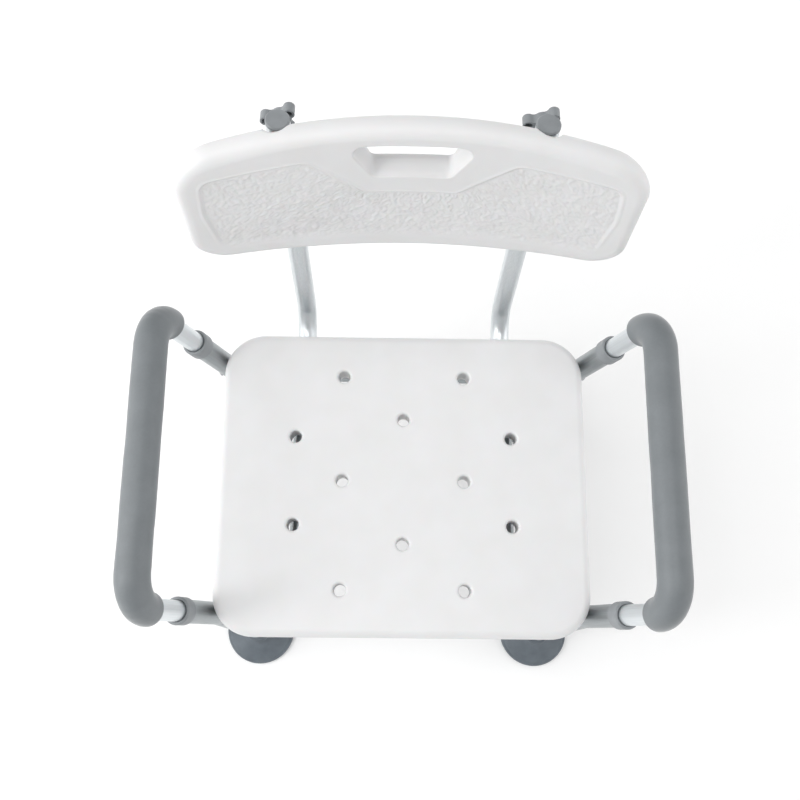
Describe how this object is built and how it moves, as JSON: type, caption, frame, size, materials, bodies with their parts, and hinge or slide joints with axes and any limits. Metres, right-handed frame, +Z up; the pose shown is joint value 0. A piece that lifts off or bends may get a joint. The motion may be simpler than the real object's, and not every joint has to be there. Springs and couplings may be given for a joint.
{
  "type": "shower chair",
  "caption": "Shower chair with a moulded white seat and backrest, padded removable arms, an aluminium tube frame, telescopic legs with snap buttons and broad rubber feet.",
  "frame": {"origin": "on the floor, under the middle of the whole chair's bounding box", "axes": "+Z up; the chair faces -Y, its backrest is towards +Y; +X is the sitter's left, on the right when seen from the front"},
  "size_m": [0.5578, 0.498, 0.6999],
  "materials": {
    "white_plastic": "satin moulded polyethylene",
    "aluminium_tube": "satin anodised",
    "grey_foam": "soft closed-cell foam with a smooth skin",
    "grey_plastic": "matt moulded",
    "foot_rubber": "matt",
    "steel": "plated",
    "brass": "plain"
  },
  "bodies": {
    "frame": {"seat_panel": "white_plastic", "corner_tube_front_left": "aluminium_tube", "corner_tube_front_right": "aluminium_tube", "corner_tube_rear_left": "aluminium_tube", "corner_tube_rear_right": "aluminium_tube", "cross_tube_front": "aluminium_tube", "cross_tube_rear": "aluminium_tube", "cross_tube_inserts": "grey_plastic", "corner_bolts": "steel", "back_rail_left": "aluminium_tube", "back_rail_right": "aluminium_tube", "rail_plugs": "grey_plastic", "seat_cradles": "grey_plastic", "seat_bolts": "steel", "arm_collar_front_left": "grey_plastic", "arm_collar_front_right": "grey_plastic", "arm_collar_rear_left": "grey_plastic", "arm_collar_rear_right": "grey_plastic", "leg_bushings": "grey_plastic"},
    "leg_front_left": {"leg_tube_front_left": "aluminium_tube", "foot_front_left": "foot_rubber", "leg_spring_front_left": "steel"},
    "leg_button_front_left": {"leg_button_front_left": "steel"},
    "leg_front_right": {"leg_tube_front_right": "aluminium_tube", "foot_front_right": "foot_rubber", "leg_spring_front_right": "steel"},
    "leg_button_front_right": {"leg_button_front_right": "steel"},
    "leg_rear_left": {"leg_tube_rear_left": "aluminium_tube", "foot_rear_left": "foot_rubber", "leg_spring_rear_left": "steel"},
    "leg_button_rear_left": {"leg_button_rear_left": "steel"},
    "leg_rear_right": {"leg_tube_rear_right": "aluminium_tube", "foot_rear_right": "foot_rubber", "leg_spring_rear_right": "steel"},
    "leg_button_rear_right": {"leg_button_rear_right": "steel"},
    "arm_left": {"arm_tube_left": "aluminium_tube", "arm_grip_left": "grey_foam", "arm_springs_left": "steel"},
    "arm_button_front_left": {"arm_button_front_left": "steel"},
    "arm_button_rear_left": {"arm_button_rear_left": "steel"},
    "arm_right": {"arm_tube_right": "aluminium_tube", "arm_grip_right": "grey_foam", "arm_springs_right": "steel"},
    "arm_button_front_right": {"arm_button_front_right": "steel"},
    "arm_button_rear_right": {"arm_button_rear_right": "steel"},
    "back": {"backrest_panel": "white_plastic", "back_tube_left": "aluminium_tube", "back_tube_right": "aluminium_tube", "back_tube_plugs": "grey_plastic", "back_screws": "steel", "back_inserts": "brass", "back_springs": "steel"},
    "back_button_left": {"back_button_left": "steel"},
    "knob_left": {"back_knob_left": "grey_plastic", "back_stud_left": "steel"},
    "back_button_right": {"back_button_right": "steel"},
    "knob_right": {"back_knob_right": "grey_plastic", "back_stud_right": "steel"}
  },
  "joints": [
    {"name": "leg_slide_front_left", "type": "slide", "parent": "frame", "child": "leg_front_left", "axis": [0.0478, -0.0527, -0.9975], "range_m": [0, 0.1524]},
    {"name": "leg_button_press_front_left", "type": "slide", "parent": "leg_front_left", "child": "leg_button_front_left", "axis": [0.9989, 0.0025, 0.0478], "range_m": [0, 0.0045], "stiffness_N_per_m": 1200, "springref_m": -0.004, "deforming": ["leg_spring_front_left"]},
    {"name": "leg_slide_front_right", "type": "slide", "parent": "frame", "child": "leg_front_right", "axis": [-0.0478, -0.0527, -0.9975], "range_m": [0, 0.1524]},
    {"name": "leg_button_press_front_right", "type": "slide", "parent": "leg_front_right", "child": "leg_button_front_right", "axis": [-0.9989, 0.0025, 0.0478], "range_m": [0, 0.0045], "stiffness_N_per_m": 1200, "springref_m": -0.004, "deforming": ["leg_spring_front_right"]},
    {"name": "leg_slide_rear_left", "type": "slide", "parent": "frame", "child": "leg_rear_left", "axis": [0.0478, 0.0527, -0.9975], "range_m": [0, 0.1524]},
    {"name": "leg_button_press_rear_left", "type": "slide", "parent": "leg_rear_left", "child": "leg_button_rear_left", "axis": [0.9989, -0.0025, 0.0478], "range_m": [0, 0.0045], "stiffness_N_per_m": 1200, "springref_m": -0.004, "deforming": ["leg_spring_rear_left"]},
    {"name": "leg_slide_rear_right", "type": "slide", "parent": "frame", "child": "leg_rear_right", "axis": [-0.0478, 0.0527, -0.9975], "range_m": [0, 0.1524]},
    {"name": "leg_button_press_rear_right", "type": "slide", "parent": "leg_rear_right", "child": "leg_button_rear_right", "axis": [-0.9989, -0.0025, 0.0478], "range_m": [0, 0.0045], "stiffness_N_per_m": 1200, "springref_m": -0.004, "deforming": ["leg_spring_rear_right"]},
    {"name": "arm_slide_left", "type": "slide", "parent": "frame", "child": "arm_left", "axis": [-0.2419, 0, 0.9703], "range_m": [0, 0.18]},
    {"name": "arm_button_press_front_left", "type": "slide", "parent": "arm_left", "child": "arm_button_front_left", "axis": [0.9703, 0, 0.2419], "range_m": [0, 0.0045], "stiffness_N_per_m": 1200, "springref_m": -0.004, "deforming": ["arm_springs_left"]},
    {"name": "arm_button_press_rear_left", "type": "slide", "parent": "arm_left", "child": "arm_button_rear_left", "axis": [0.9703, 0, 0.2419], "range_m": [0, 0.0045], "stiffness_N_per_m": 1200, "springref_m": -0.004, "deforming": ["arm_springs_left"]},
    {"name": "arm_slide_right", "type": "slide", "parent": "frame", "child": "arm_right", "axis": [0.2419, 0, 0.9703], "range_m": [0, 0.18]},
    {"name": "arm_button_press_front_right", "type": "slide", "parent": "arm_right", "child": "arm_button_front_right", "axis": [-0.9703, 0, 0.2419], "range_m": [0, 0.0045], "stiffness_N_per_m": 1200, "springref_m": -0.004, "deforming": ["arm_springs_right"]},
    {"name": "arm_button_press_rear_right", "type": "slide", "parent": "arm_right", "child": "arm_button_rear_right", "axis": [-0.9703, 0, 0.2419], "range_m": [0, 0.0045], "stiffness_N_per_m": 1200, "springref_m": -0.004, "deforming": ["arm_springs_right"]},
    {"name": "back_slide", "type": "slide", "parent": "frame", "child": "back", "axis": [0, 1, 0], "range_m": [0, 0.15]},
    {"name": "back_button_press_left", "type": "slide", "parent": "back", "child": "back_button_left", "axis": [1, 0, 0], "range_m": [0, 0.0045], "stiffness_N_per_m": 1200, "springref_m": -0.004, "deforming": ["back_springs"]},
    {"name": "knob_turn_left", "type": "hinge", "parent": "back", "child": "knob_left", "pos_m": [-0.118, 0.23247, 0.65587], "axis": [0, 0.9914, -0.1305], "continuous": true},
    {"name": "back_button_press_right", "type": "slide", "parent": "back", "child": "back_button_right", "axis": [-1, 0, 0], "range_m": [0, 0.0045], "stiffness_N_per_m": 1200, "springref_m": -0.004, "deforming": ["back_springs"]},
    {"name": "knob_turn_right", "type": "hinge", "parent": "back", "child": "knob_right", "pos_m": [0.118, 0.23247, 0.65587], "axis": [0, 0.9914, -0.1305], "continuous": true}
  ]
}
